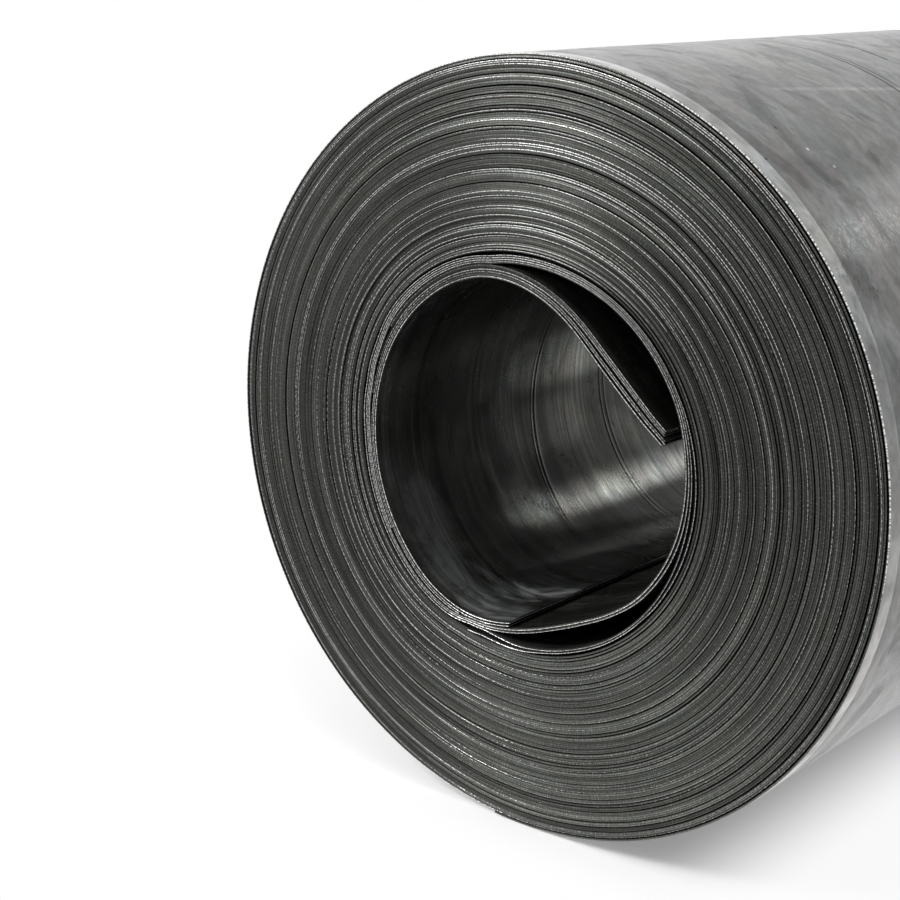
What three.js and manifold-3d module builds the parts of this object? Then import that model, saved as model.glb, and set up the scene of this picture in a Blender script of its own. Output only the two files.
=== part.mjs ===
// A coil of hot-rolled steel strip, lying with its eye level.
//
// Frame: millimetres, +Z up. The coil's axis runs along Y, the coil rests on the plane Z = 0 and
// the origin is under its middle. Angles round the axis are in degrees, seen along +Y: 0 is +X,
// 90 is up and 270 is where the coil touches the ground.
//
// The strip is one piece, so the coil is one body: a turned solid whose ends step in and out with
// its groups of turns, the crescents of settled turns in the eye, and the packs of loosened turns
// that have sprung off the bore wall.

import * as THREE from "three";
import { mergeVertices } from "three/addons/utils/BufferGeometryUtils.js";
import Module from "manifold-3d";

// Strip and coil
const STRIP_WIDTH = 1250;
const STRIP_THICKNESS = 3.2;
const TURN_GAP = 0.1; // air between two tight turns
const COIL_DIAMETER = 1250; // over the outermost turn
const BORE_DIAMETER = 610; // the mandrel that the first turns were wound on
const EYE_SPREAD = 13; // how far the tight turns stand outside the mandrel's circle

// Edges and ends
const EDGE_DROP = 1.2; // the strip is thinner along its edges, and the outside falls away there
const EDGE_BAND = 30; // width of that fall
const EYE_SETBACK = 3; // the loosened turns' edges behind the coil's ends
const TAIL_ANGLE = 250; // the outer end of the strip, just past the ground line
const TAIL_RUN = 55; // degrees over which the turn under the tail falls one strip below it

// Groups of turns that stand level with each other on an end, from the outside in:
// [turns in the group, distance behind the coil's end]
const NEAR_GROUPS = [
  [1, 0.8], [15, 0], [10, 2.2], [12, 0.6], [8, 2.6], [11, 0.8], [12, 0], [6, 2.4], [10, 0.7], [20, 1.6],
];
const FAR_GROUPS = [
  [3, 1.2], [13, 0], [9, 1.8], [14, 0.5], [12, 2.4], [9, 0], [15, 1.4], [8, 0.4], [20, 1.6],
];

// Loosened turns, each as [angle, lift towards the axis from the mandrel's circle, strips in it].
// A negative lift is outside that circle, where the turns are still tight.
const INNER_PACK = [
  [14.3, 48, 3], [21, 67, 3], [29, 81, 3], [37.7, 89, 3], [45.5, 91.4, 3], [52, 90.2, 3],
  [61.5, 82.6, 3], [70, 71.2, 3], [78, 58.6, 3], [87, 44, 3], [97, 28, 3], [108, 14, 3],
  [118, 6, 3], [130, 0, 4], [145, -5.4, 5], [165, -8.4, 4], [190, -10.4, 3], [215, -11, 3],
  [232, -10, 3], [243, -3.4, 2], [253, 8.4, 2], [263.9, 25.4, 2],
];
const OUTER_PACK = [
  [14.7, 34, 3], [20, 48.6, 3], [27.4, 62.6, 3], [36, 71, 3], [44.7, 74.4, 3], [54, 71, 3],
  [62.4, 62.8, 3], [70, 52.4, 3], [77, 43.8, 3], [84, 35.6, 3], [90, 28.8, 3], [97, 20.4, 3],
  [103, 12.8, 3], [109, 6.2, 3], [120, 0, 3], [132, -6, 3], [146, -14, 3],
];
const LOWER_PAIR = [
  [238, -17, 2], [249, -3.6, 2], [257, 5.4, 2], [265, 16, 2], [273, 26.6, 2], [282, 35.2, 2],
  [294, 38.4, 2], [306, 34, 2], [319, 25.6, 2], [332, 20, 2], [346, 15.4, 2], [358, 12.6, 2],
  [370, 9.4, 2], [382, 5.4, 2], [395, 4, 2], [415, 3.6, 2], [435, 3.2, 2], [450, 1, 2],
  [464, -1.2, 2], [476, -4, 2], [488, -9, 2], [500, -17, 2],
];
// Turns that settled on the bore wall, as [angle, lift]; they fill the space out to the tight turns.
const SETTLED_TURNS = [
  [236, -19], [250, -10.5], [264, -6.4], [282, -3.4], [300, -1.4], [330, -0.4], [360, -0.4],
  [400, -0.6], [440, -2], [460, -4], [474, -6.4], [488, -10.4], [500, -19],
];

// How finely round forms are drawn
const FACETS = 72;
const DEGREES_A_STEP = 5;

const TURN_PITCH = STRIP_THICKNESS + TURN_GAP;
const OUTER_RADIUS = COIL_DIAMETER / 2;
const MANDREL_RADIUS = BORE_DIAMETER / 2;
const WALL_RADIUS = MANDREL_RADIUS + EYE_SPREAD;
const SEAT = 2 * TURN_PITCH; // how deep the settled turns run into the tight ones
const CLEAR = 20; // how far a cutting tool stands outside what it cuts
const FLAT_TO_CORNER = 1 / Math.cos(Math.PI / FACETS);

const wasm = await Module();
wasm.setup();

// A closed geometry as a solid for cutting and joining.
function toSolid(geometry) {
  const bare = geometry.index ? geometry.toNonIndexed() : geometry.clone();
  bare.deleteAttribute("normal");
  bare.deleteAttribute("uv");
  const merged = mergeVertices(bare, 1e-3);
  return new wasm.Manifold(
    new wasm.Mesh({
      numProp: 3,
      vertProperties: merged.attributes.position.array,
      triVerts: new Uint32Array(merged.index.array),
    }),
  );
}

// A solid as a geometry that a mesh can show.
function toGeometry(solid) {
  const mesh = solid.getMesh();
  const geometry = new THREE.BufferGeometry();
  geometry.setAttribute("position", new THREE.BufferAttribute(mesh.vertProperties, 3));
  geometry.setIndex(new THREE.BufferAttribute(mesh.triVerts, 1));
  const faceted = geometry.toNonIndexed();
  faceted.computeVertexNormals();
  return faceted;
}

// A point of the coil's cross-section, at an angle and a distance from the axis.
function polar(degrees, radius) {
  const angle = THREE.MathUtils.degToRad(degrees);
  return new THREE.Vector2(radius * Math.cos(angle), radius * Math.sin(angle));
}

// The steps of one end's profile, from the outside to the bore: each group of turns is a land, and
// each change of group is a step. The pattern of groups starts again if the coil outgrows it.
function endProfile(groups) {
  const profile = [];
  let radius = OUTER_RADIUS;
  for (let i = 0; radius > WALL_RADIUS; i++) {
    const [turns, setback] = groups[i % groups.length];
    const height = STRIP_WIDTH / 2 - setback;
    const drop = i === 0 ? EDGE_DROP : 0;
    const inner = radius - turns * TURN_PITCH;
    const last = inner < WALL_RADIUS + TURN_PITCH;
    profile.push(new THREE.Vector2(radius - drop, height));
    radius = last ? WALL_RADIUS : inner;
    profile.push(new THREE.Vector2(radius, height));
  }
  return profile;
}

// The tight turns: a lathe profile that goes up the outside, in over the far end, down the bore
// and out over the near end.
function tightTurns() {
  const shoulder = STRIP_WIDTH / 2 - EDGE_BAND;
  const far = endProfile(FAR_GROUPS);
  const near = endProfile(NEAR_GROUPS).map((p) => new THREE.Vector2(p.x, -p.y)).reverse();
  const outside = [new THREE.Vector2(OUTER_RADIUS, -shoulder), new THREE.Vector2(OUTER_RADIUS, shoulder)];
  const profile = [...outside, ...far, ...near, outside[0]];
  const corners = profile.map((p) => new THREE.Vector2(p.x * FLAT_TO_CORNER, p.y));
  // Half a facet round, so that a flat and not a corner lies on the ground.
  return toSolid(new THREE.LatheGeometry(corners, FACETS, Math.PI / FACETS));
}

// A cross-section carried along the strip's width, stopping short of both ends by the setback.
function acrossWidth(outline, setback) {
  const depth = STRIP_WIDTH - 2 * setback;
  const geometry = new THREE.ExtrudeGeometry(new THREE.Shape(outline), { depth, bevelEnabled: false });
  geometry.rotateX(Math.PI / 2);
  geometry.translate(0, depth / 2, 0);
  return toSolid(geometry);
}

// A smooth run through keys of [angle, lift, strips], as points spaced evenly round the axis.
function sweep(keys) {
  const run = new THREE.CatmullRomCurve3(keys.map((key) => new THREE.Vector3(...key)), false, "catmullrom");
  const span = keys[keys.length - 1][0] - keys[0][0];
  return run.getSpacedPoints(Math.round(span / DEGREES_A_STEP)).map((point) => ({
    angle: point.x,
    place: polar(point.x, MANDREL_RADIUS - point.y),
    strips: point.z,
  }));
}

// A pack of loosened turns: its inner side follows the keys, and its outer side lies as many
// strips outwards, square to it.
function pack(keys) {
  const run = sweep(keys);
  const outer = run.map(({ place, strips }, i) => {
    const before = run[Math.max(i - 1, 0)].place;
    const after = run[Math.min(i + 1, run.length - 1)].place;
    const along = after.clone().sub(before).normalize();
    return new THREE.Vector2(along.y, -along.x).multiplyScalar(strips * TURN_PITCH).add(place);
  });
  return acrossWidth([...run.map((point) => point.place), ...outer.reverse()], EYE_SETBACK);
}

// Turns that settled on the wall: a crescent from their own inner side out into the tight turns.
function settledTurns(keys) {
  const run = sweep(keys.map(([angle, lift]) => [angle, lift, 0]));
  const outer = run.map(({ angle }) => polar(angle, WALL_RADIUS + SEAT));
  return acrossWidth([...run.map((point) => point.place), ...outer.reverse()], EYE_SETBACK);
}

// What is cut away beside the tail, so that the turn under it lies one strip lower.
function besideTail() {
  const steps = Math.round(TAIL_RUN / DEGREES_A_STEP);
  const lower = [];
  const upper = [];
  for (let i = 0; i <= steps; i++) {
    const share = i / steps;
    const angle = TAIL_ANGLE - TAIL_RUN * (1 - share);
    lower.push(polar(angle, OUTER_RADIUS + TURN_GAP - (TURN_PITCH + TURN_GAP) * share));
    upper.push(polar(angle, OUTER_RADIUS + CLEAR));
  }
  return acrossWidth([...upper, ...lower.reverse()], -CLEAR);
}

function coilSolid() {
  let solid = tightTurns();
  for (const part of [settledTurns(SETTLED_TURNS), pack(LOWER_PAIR), pack(OUTER_PACK), pack(INNER_PACK)])
    solid = solid.add(part);
  return solid.subtract(besideTail());
}

const steel = new THREE.MeshStandardMaterial({ color: 0x5f6263, roughness: 0.42, metalness: 0.85 });

const coil = new THREE.Mesh(toGeometry(coilSolid()), steel);
coil.name = "coil";
coil.position.z = OUTER_RADIUS;

const group = new THREE.Group();
group.add(coil);

export default group;
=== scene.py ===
"""A coil of hot-rolled steel strip lying with its eye level: its single turns, its loosened inner
turns, their finishes, and a plain studio.

Frame: +Z up, the coil's axis runs along Y, and the origin is on the ground under its middle. Angles
round the axis are in degrees, seen along +Y: 0 is +X, 90 is up and 270 is where the coil touches the
ground. Shapes are worked out in millimetres from the coil's axis and stored in metres. A place along
the strip is its winding: the number of turns from the tail, the outer end of the strip, inwards.
"""

import math
from functools import partial, reduce
from operator import mul
from types import SimpleNamespace

import bpy
import numpy as np
from bpy.props import FloatProperty, FloatVectorProperty, IntProperty, PointerProperty
from mathutils import Matrix, Vector


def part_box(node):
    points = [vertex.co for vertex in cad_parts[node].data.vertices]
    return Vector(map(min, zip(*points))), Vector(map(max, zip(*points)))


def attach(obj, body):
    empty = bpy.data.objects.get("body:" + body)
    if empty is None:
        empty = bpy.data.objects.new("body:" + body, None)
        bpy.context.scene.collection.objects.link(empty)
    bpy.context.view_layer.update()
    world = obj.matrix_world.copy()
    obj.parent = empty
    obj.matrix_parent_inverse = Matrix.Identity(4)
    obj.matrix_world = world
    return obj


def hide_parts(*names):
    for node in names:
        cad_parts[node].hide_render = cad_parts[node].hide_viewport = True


bl_info = {
    "name": "Steel coil",
    "version": (1, 0, 0),
    "blender": (4, 5, 0),
    "location": "3D View > Sidebar > Steel coil",
    "description": "Winds the single turns of a steel coil and gives them their finishes",
    "category": "Object",
}

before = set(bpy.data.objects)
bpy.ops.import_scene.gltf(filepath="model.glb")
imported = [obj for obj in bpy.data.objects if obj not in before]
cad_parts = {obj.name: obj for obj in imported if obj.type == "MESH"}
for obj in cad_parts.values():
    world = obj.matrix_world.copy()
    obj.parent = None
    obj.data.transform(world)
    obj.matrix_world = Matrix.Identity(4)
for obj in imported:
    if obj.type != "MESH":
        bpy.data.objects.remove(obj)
NODE = "coil"
BODY = "root"

MM = 0.001
LOW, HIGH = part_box(NODE)
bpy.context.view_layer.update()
WIDTH = (HIGH.y - LOW.y) / MM
OUTER_RADIUS = (HIGH.z - LOW.z) / 2 / MM
AXIS_HEIGHT = (HIGH.z + LOW.z) / 2

TURN = 360.0
OUT_OF_USE = 0.0  # a radius for a stretch where another layer decides
LEFT_SIDE = 175  # the middle of the coil's left side, in degrees

# Distance of the near edges behind the coil's end: (turns in the group, millimetres), from outside.
NEAR_GROUPS = (
    (1, 0.8), (15, 0), (10, 2.2), (12, 0.6), (8, 2.6), (11, 0.8), (12, 0), (6, 2.4), (10, 0.7),
    (20, 1.6),
)
FAR_GROUPS = (
    (3, 1.2), (13, 0), (9, 1.8), (14, 0.5), (12, 2.4), (9, 0), (15, 1.4), (8, 0.4), (20, 1.6),
)
# Turns that stand out past the turns inside them, round the left: (turn from outside, millimetres).
LEFT_STEPS = (
    (0, 2.2), (5, 2.6), (8, 1.2), (14, 1.5), (19, 0.7), (28, 2.8), (35, 0.8), (42, 1.4), (44, 1),
    (47, 1.2), (56, 0.8), (58, 1.5), (68, 1.6), (76, 3), (79, 1.6), (82, 1),
)

TAIL_CROP = 15.5  # degrees of the first turn that are cropped off the tail
# Places where the turns lie open: (turn from outside, middle angle, half its span, how open).
LOOSE_SPOTS = (
    (0, 15, 45, 1.2), (0, 318, 30, 0.5), (0, 172, 50, 1.9), (1, 30, 50, 0.7), (3, 345, 55, 2.2),
    (5, 172, 50, 2.5), (8, 172, 50, 1.1), (12, 350, 80, 1), (14, 170, 50, 1.3), (17, 335, 70, 1.1),
    (19, 172, 50, 1.1), (23, 350, 70, 1.2), (28, 170, 55, 2.7), (30, 350, 60, 1.9), (35, 178, 40, 1),
    (36, 345, 60, 1.6), (38, 165, 45, 1), (42, 140, 35, 1.2), (44, 165, 45, 0.9), (46, 335, 60, 2),
    (47, 180, 55, 1.4), (48, 170, 40, 1), (52, 330, 70, 1.2), (56, 178, 45, 1), (58, 172, 55, 2.2),
    (60, 350, 70, 1.4), (68, 175, 60, 1.5), (68, 335, 60, 1.4), (70, 172, 50, 1.1), (76, 168, 55, 3.2),
    (76, 330, 60, 1.2), (79, 168, 50, 2.7), (81, 340, 90, 1.2),
)

# Inner side of the innermost sprung turn, as (angle, radius).
SPRUNG_SIDE = (
    (12, 264), (14.3, 257), (21, 238), (29, 224), (37.7, 216), (45.5, 213.6), (52, 214.8), (61.5, 222.4),
    (70, 233.8), (78, 246.4), (87, 261), (97, 277), (108, 291), (118, 299), (130, 305), (145, 310.4),
    (165, 313.4), (190, 315.4), (215, 316), (232, 315), (243, 308.4), (253, 296.6), (263.9, 279.6),
)
# Where each sprung turn starts and ends, from the inside out, and how bright its edge is.
SPRUNG_TURNS = (
    (14.3, 263.9, 0.9), (13.6, 263.7, 0.6), (14.2, 244.5, 0.8), (15.3, 170, 0.6), (15.7, 158, 0.55),
    (15.8, 148, 0.8),
)
# Air between neighbours in the sprung turns, as (angle, millimetres).
SPLIT_AFTER_FIRST = (
    (14, 2.2), (30, 2.9), (45, 3.1), (60, 2.6), (75, 1.7), (90, 0.9), (105, 0.4), (125, 0.1), (145, 0),
)
SPLIT_AFTER_THIRD = (
    (14, 1.8), (30, 3), (45, 3.4), (60, 3), (75, 2), (90, 1.1), (105, 0.5), (125, 0.1), (145, 0),
)
SPLIT_AT_FOOT = ((200, 0), (215, 0.25), (230, 0.65), (243, 0.95), (264, 1.05))
SEATED_AIR = 0.4

# Height of the stack of sprung turns under the wall, which falls where one of them ends.
STACK = (
    (90, 22.5), (97, 22.1), (108, 21.4), (120, 20.8), (148, 20.5), (156, 17.3), (160, 17.2), (168, 13.9),
    (172, 13.8), (182, 10.5), (200, 10.5), (215, 11), (230, 11.8), (243, 12.3), (250, 8.1), (263.9, 8.1),
    (268, 0),
)

# Inner sides of the last turns before the sprung ones, as (angle, radius), from the ground line round.
LOWER_TURN = (
    (250, 309.6), (257, 300.5), (265, 289), (273, 278.4), (282, 269.8), (294, 266.4), (306, 271.2),
    (319, 279.6), (332, 285), (346, 289.6), (358, 292.4), (370, 295.6), (382, 299.8), (395, 301),
    (415, 301.6), (435, 301.8), (450, 304.4), (461, 307), (475, 300), (610, 300),
)
LOWER_SPLIT = (
    (250, 0.6), (264, 1.7), (288, 1.7), (300, 1.3), (312, 1.2), (325, 1.9), (340, 2.9), (352, 2.9),
    (366, 2.2), (380, 1), (395, 0.6), (450, 0.5), (470, 0.35), (610, 0.35),
)
CRESCENT_SIDE = (
    (250, 311.5), (255, 310.4), (260, 310.8), (268, 312), (277, 309.6), (289, 307), (301, 306.4),
    (315, 305.4), (330, 304.2), (346, 302.8), (358, 303), (372, 304.5), (382, 305), (395, 300), (610, 300),
)
SLOT_SIDE = (
    (250, 300), (305, 300), (318, 309), (330, 310.4), (346, 311.5), (356, 312.2), (366, 312.3), (376, 312.2),
    (386, 311.5), (398, 300), (610, 300),
)
WALL_AIR = ((250, 0.7), (300, 0.6), (380, 0.5), (396, 0.6), (450, 0.5), (470, 0.4), (560, 0.5), (610, 0.7))
LAST_TURN_ENDS = 572  # the innermost wall turn stops here, under the sprung turns
LANDING = 30  # degrees over which the last tight turn comes down onto the wall's layers
SHIFT_FROM = 570  # from here to the tail's angle each wall turn moves in to the next one's place

# Creases round the bore: (place along the axis, half width, height towards the axis, the angle where
# it stands highest, and half the angle that it runs over).
CREASES = (
    (-190, 3.2, 0.8, 186, 42), (-199, 2.6, 0.4, 190, 40), (19, 2.4, 0.7, 195, 48), (32, 2.4, 0.6, 195, 50),
    (-470, 12, 0.3, 215, 60), (120, 6, 0.3, 200, 60),
)
# How the creases slant: (place, slide along the axis, the angle where it is nought, reach).
SLANTS = ((-194, -43, 188, 120), (26, -8, 195, 90))

# Marks on a skin: (from (angle, y), to (angle, y), half width, share that it lightens or darkens by,
# and, where grain breaks it up, by how much). On the outer skin the broad light band at about 40
# degrees, drawn across the whole width, is a painted highlight, and the broad dark marks over the
# edge band from about 30 degrees down and over the middle at about 48 degrees are painted shade.
SKIN_MARKS_AND_PAINTED_LIGHT = (
    ((97, -16), (60, -17), 3.8, -0.9), ((79, -4), (58, 4), 3, -0.75), ((92, 138), (74, 127), 4.2, -0.7),
    ((76, 129), (71.5, 126), 6, -0.8), ((65.5, -350), (62, 20), 8, 0.3, 0.1),
    ((68.6, -232), (65.8, -210), 5, 0.4), ((84.4, -548), (84.3, -548), 3.6, -0.97),
    ((51.9, -589), (51.8, -589), 3.4, -0.97), ((57.2, -486), (57, -486), 3.2, -0.9),
    ((62.2, -431), (60.8, -426), 2.4, -0.6), ((52.5, -464), (52.4, -464), 3.2, 3),
    ((48.9, -439), (48.8, -439), 3.2, 2.6), ((38, -550), (42, 590), 52, 0.22),
    ((38, -560), (42, 590), 46, 0.8, 0.8), ((30, -608), (-7, -608), 26, -0.25),
    ((23, -608), (1, -608), 26, -0.33), ((22, -565), (0, -565), 45, -0.25),
    ((48.5, -575), (48.5, -150), 46, -0.2, 0.2), ((-8, -606), (-70, -606), 34, -0.2),
    ((34.5, -600), (31, -545), 26, -0.45, 0.9), ((58.3, -270), (57, -256), 4, -0.4, 0.3),
    ((70, -395), (62, -300), 14, -0.2, 0.2), ((46, -470), (30, -380), 30, -0.15),
)
# On the bore the broad pale patches are painted highlights of sheen and the broad dark patches are painted
# shade; each pair of a light and a dark line along a crease, at about -190 and 20 mm, is a painted highlight
# and painted shade beside that crease.
BORE_MARKS_AND_PAINTED_LIGHT = (
    ((162, -195), (180, -125), 15, -0.75, 1), ((184, -15), (202, 40), 12, -0.75, 1),
    ((211, -330), (226, -215), 20, -0.9, 0.9), ((212, -60), (228, 50), 18, -0.8, 1),
    ((204, -160), (219, -85), 16, -0.8, 1), ((176, -300), (196, -285), 12, -0.6, 1),
    ((205, -593), (262, -593), 1.6, -0.45), ((173, -215), (172, 20), 75, 3),
    ((196, -205), (196, -110), 80, 0.9), ((218, -330), (227, -190), 60, 1.2),
    ((168, -470), (212, -440), 120, -0.45), ((186, -345), (204, -305), 42, -0.5),
    ((203, 60), (213, 130), 50, 0.6), ((150, -170), (225, -222), 1.7, 0.9),
    ((150, -164), (225, -216), 1.7, -0.7), ((155, 10), (235, 30), 1.8, 0.7),
    ((155, 16), (235, 36), 1.8, -0.6), ((165, -300), (228, -330), 3, -0.4),
    ((158, -90), (222, -110), 3.5, -0.45), ((165, -60), (215, -64), 2.5, -0.35),
    ((160, -250), (215, -262), 2.5, -0.35),
)
# Dry film on the bore near its mouth: (from (angle, y), to (angle, y), half width, how thick).
FILM_MARKS = (
    ((206, -540), (258, -585), 62, 0.38), ((218, -585), (252, -520), 24, 0.22),
    ((230, -515), (261, -440), 15, 0.3), ((238, -505), (259, -455), 5, 0.3),
    ((240, -545), (258, -500), 9, 0.35), ((256, -462), (262, -436), 13, 0.75),
    ((244, -495), (262, -440), 42, 0.42),
)

# Lengths in millimetres.
EYE_SETBACK = 3.0  # the sprung turns' edges behind the coil's ends, and how far they wander about it
EYE_RAGGED = 0.8
WALL_SETBACK = 1.2  # the wall turns' edges behind the tight ones
CORNER = 0.35  # how far a slit edge's corners are rolled over
SLIT_FACE, SLIT_TILT = 0.08, 0.22  # how far the slit face lies in, and how far it tilts
FACE_START = 0.28  # where the slit face starts, from the inner skin
FACE_END, BURR_AT = 0.42, 0.12  # where it ends and where its burr stands, from the outer skin
EDGE_FALL, EDGE_BAND = 1.2, 30  # how far the outermost turn falls away towards its edges, over a band
MIDDLE_DIP = 0.38  # how much of that its middle gives back
RELIEF_FADE = 60  # the bore's waves die out over this band along each edge
SEAT_AIR = 0.25  # air between the wall's first layer and the tight turns
MAP_START = 1000.0  # along its map, where a strip starts for each turn of its winding

# Places along the strip, in turns and in degrees.
OUTSIDE_END = 1.15  # the piece with the outermost turn ends here
STEP_START = 1.29  # from a turn's start to where the turns inside it step back at the left
SPRUNG_START, SPRUNG_APART = 10, 3  # from the last tight turn, and from one sprung turn to the next
UNDER_FROM = 450  # from here on the sprung turns lie inside the wall's layers
SHORT_BEND = 16.0  # half span of the bends that the tight wall doesn't take up
CUTS = (0.34, 0.67)  # where the tight turns are cut into pieces, as shares of their number

# How finely the strip is drawn.
SECTION_ENDS = 5  # points on each slit edge of its section
OUTSIDE_COLUMNS, WALL_COLUMNS, INMOST_COLUMNS, SPRUNG_COLUMNS = 44, 40, 46, 14
CREASE_COLUMNS = np.linspace(-2.4, 2.4, 11)  # in half widths from a crease
BAND_COLUMNS = np.array([8.0, 18.0, 28.0, 40.0])  # from each edge
MIDDLE_CREASE = ((0, 60.0),)  # draws the outside's columns closer round its middle
FINER = 1.25  # the sprung turns' steps against the tight ones'

# The baking map: shares of its height for an edge and a skin, of a lane for its faces and its foot,
# and the place, width and distance of the closing faces.
EDGE_SHARE, SKIN_SHARE = 0.30, 0.20
LANE_LENGTH, LANE_FOOT, LANE_HEIGHT = 0.98, 0.02, 0.96
CAP_PLACE, CAP_WIDTH, CAP_STEP = 0.985, 0.006, 0.008

STRIP_VALUES = ("across", "tone", "bare")  # what the slit edges' finish reads at each point
WHITE = (1, 1, 1, 1)


# ---- sizes, colours and the studio

SHARE = {"min": 0.0, "max": 1.0}
COLOUR = {**SHARE, "subtype": "COLOR"}
POWER = {"min": 0.0, "unit": "POWER"}


def number_field(name, description, default, **kind):
    """A number with what its kind sets: its range and its unit."""
    return FloatProperty(name=name, description=description, default=default, **kind)


def angle_field(name, description, degrees):
    return number_field(name, description, math.radians(degrees), subtype="ANGLE")


def length_field(name, description, default, least=0.0):
    return number_field(name, description, default, min=least, unit="LENGTH")


def colour_field(name, description, default):
    return FloatVectorProperty(name=name, description=description, default=default, **COLOUR)


class CoilSizes(bpy.types.PropertyGroup):
    """Sizes of the strip and of its winding."""

    thickness: length_field("Strip thickness", "Thickness of the strip between its two skins", 0.003, 0.001)
    tight_turns: IntProperty(
        name="Tight turns", description="Turns from the tail to the wall of the eye", default=84, min=10,
    )
    steps: IntProperty(
        name="Steps a turn", description="Straight steps in which one turn is drawn", default=240, min=24,
    )
    tail: angle_field("Tail angle", "Where the outer end of the strip lies round the axis", 250)
    burr: length_field("Burr height", "Height of the burr that slitting left along an edge", 0.00028)
    wander: length_field("Edge wander", "How far single turns stand in and out on the ends", 0.0005)
    edge_band: length_field("Edge band", "Width of the thinner, lighter band along each edge", 0.033, 0.001)


class CoilFinish(bpy.types.PropertyGroup):
    """Colours and roughness of the steel."""

    skin: colour_field("Rolled skin", "Colour of the outer skin", (0.106, 0.109, 0.103))
    bore: colour_field("Bore skin", "Colour of the skin inside the eye", (0.067, 0.070, 0.063))
    edge: colour_field("Slit edge", "Colour of the slit edges on the ends", (0.0455, 0.047, 0.0425))
    film: colour_field("Dry film", "Colour of the film that dried on the bore's skin", (0.170, 0.176, 0.190))
    burr: colour_field("Bare burr", "Colour of bare metal along a burr", (0.86, 0.87, 0.86))
    oil: number_field("Oil", "How much of the outer skin is covered by oil", 0.90, **SHARE)
    skin_roughness: number_field("Skin roughness", "Roughness of the rolled skins", 0.36, **SHARE)
    bore_roughness: number_field("Bore roughness", "Roughness of the skin inside the eye", 0.235, **SHARE)
    edge_roughness: number_field("Edge roughness", "Roughness of the slit edges", 0.48, **SHARE)


class CoilStudio(bpy.types.PropertyGroup):
    """Camera, floor and lamps."""

    eye_place: FloatVectorProperty(
        name="Camera place", description="Where the camera stands", subtype="TRANSLATION",
        default=(1.6557, -2.7857, 1.3722),
    )
    azimuth: angle_field("Azimuth", "How far the view is turned from the coil's axis", 39.90)
    pitch: angle_field("Pitch", "How far the view looks down", 15.06)
    view: angle_field("View angle", "Angle across the picture", 28)
    floor: colour_field("Floor", "Colour of the floor", (0.92, 0.92, 0.92))
    room_light: number_field("Room light", "Light that comes from all round", 0.62, min=0.0)
    key_power: number_field("Key lamp", "Power of the large lamp in front", 150.0, **POWER)
    left_power: number_field("Left lamp", "Power of the low lamp on the left", 8.0, **POWER)
    top_power: number_field("Top lamp", "Power of the lamp overhead", 14.0, **POWER)
    back_power: number_field("Back lamp", "Power of the lamp behind the far end", 0.57, **POWER)


# ---- numbers along the strip


def ease(share):
    """3s^2 - 2s^3 between 0 and 1: a step with level ends."""
    held = np.clip(share, 0.0, 1.0)
    return held * held * (3 - 2 * held)


def bell(distance, half_span):
    """e^(-(d / h)^2): 1 in the middle and 0.37 at the half span."""
    return np.exp(-((distance / half_span) ** 2))


def turned_from(angle, middle):
    """Degrees from a middle angle, the short way round."""
    return (angle - middle + TURN / 2) % TURN - TURN / 2


def smooth_curve(keys, at):
    """Value of the smooth curve through (place, value) keys: between two keys a cubic with the keys'
    values, whose slope at each key is that of the line through its neighbours."""
    place, value = np.array(keys, float).T
    slope = np.gradient(value, place)
    i = np.clip(np.searchsorted(place, at) - 1, 0, len(place) - 2)
    gap = place[i + 1] - place[i]
    u = np.clip((at - place[i]) / gap, 0.0, 1.0)
    rise = ease(u)
    bend = gap * (slope[i] * u * (1 - u) ** 2 - slope[i + 1] * u * u * (1 - u))
    return value[i] * (1 - rise) + value[i + 1] * rise + bend


def wander(at, step, seed):
    """Smooth noise between -1 and 1: a seeded random value at every step, joined by eased curves."""
    cell = np.floor(at / step).astype(int)
    values = np.random.default_rng(seed).uniform(-1, 1, max(int(cell.max()) + 2, 2))
    return values[cell] + (values[cell + 1] - values[cell]) * ease(at / step - cell)


def group_level(groups, wind):
    """Setback of the group that a winding lies in, passing to the next group over most of a turn."""
    level = np.full_like(wind, groups[0][1])
    start = 0.0
    for (turns, before), (_, after) in zip(groups, groups[1:]):
        start += turns
        level += (after - before) * ease((wind - start) / 0.7 + 0.5)
    return level


def angle_at(wind, sizes):
    """Angle round the axis at a winding."""
    return sizes.tail_degrees + TURN * wind


def left_steps(wind, sizes):
    """How far turns stand back behind the turn outside them, round the left: a step is deepest just
    inside its turn and fades as exp(-t / 2), t being turns further in, and round the side as a bell."""
    side = bell(turned_from(angle_at(wind, sizes), LEFT_SIDE), 60)
    back = np.zeros(wind.shape)
    for turn, depth in LEFT_STEPS:
        further_in = wind - turn - STEP_START
        back += depth * (further_in > 0) * np.exp(-np.maximum(further_in, 0.0) / 2)
    return side * back


def edge_setbacks(wind, sizes):
    """How far the near and far edges lie behind the ends: the groups, with each turn's own wander."""
    near = wander(wind, 0.23, 11) + 0.6 * wander(wind, 0.061, 12)
    near = group_level(NEAR_GROUPS, wind) + sizes.wander * near + left_steps(wind, sizes)
    far = wander(wind, 0.27, 21) + 0.6 * wander(wind, 0.057, 22)
    far = group_level(FAR_GROUPS, wind) + sizes.wander * far
    return np.maximum(near, 0.0), np.maximum(far, 0.0)


def edge_tone(wind, angle):
    """Brightness of the slit edge, about 1: e to slow and quick changes along the strip, times painted
    highlight and shade that make some angles round the end brighter or duller, a bell round each."""
    slow = 0.44 * wander(wind, 0.83, 31) + 0.40 * wander(wind, 0.29, 32)
    broad = 0.12 * wander(wind, 5.3, 33)
    side = 1.0
    # Painted highlight and shade: angles round the end face at which the edges are made brighter or darker.
    for middle, half_span, painted_light_share in ((308, 30, 0.85), (68, 20, 0.15), (260, 25, -0.12)):
        side = side + painted_light_share * bell(turned_from(angle, middle), half_span)
    return 0.98 * side * np.exp(slow + broad + 0.20 * wander(wind, 0.067, 34))


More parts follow.
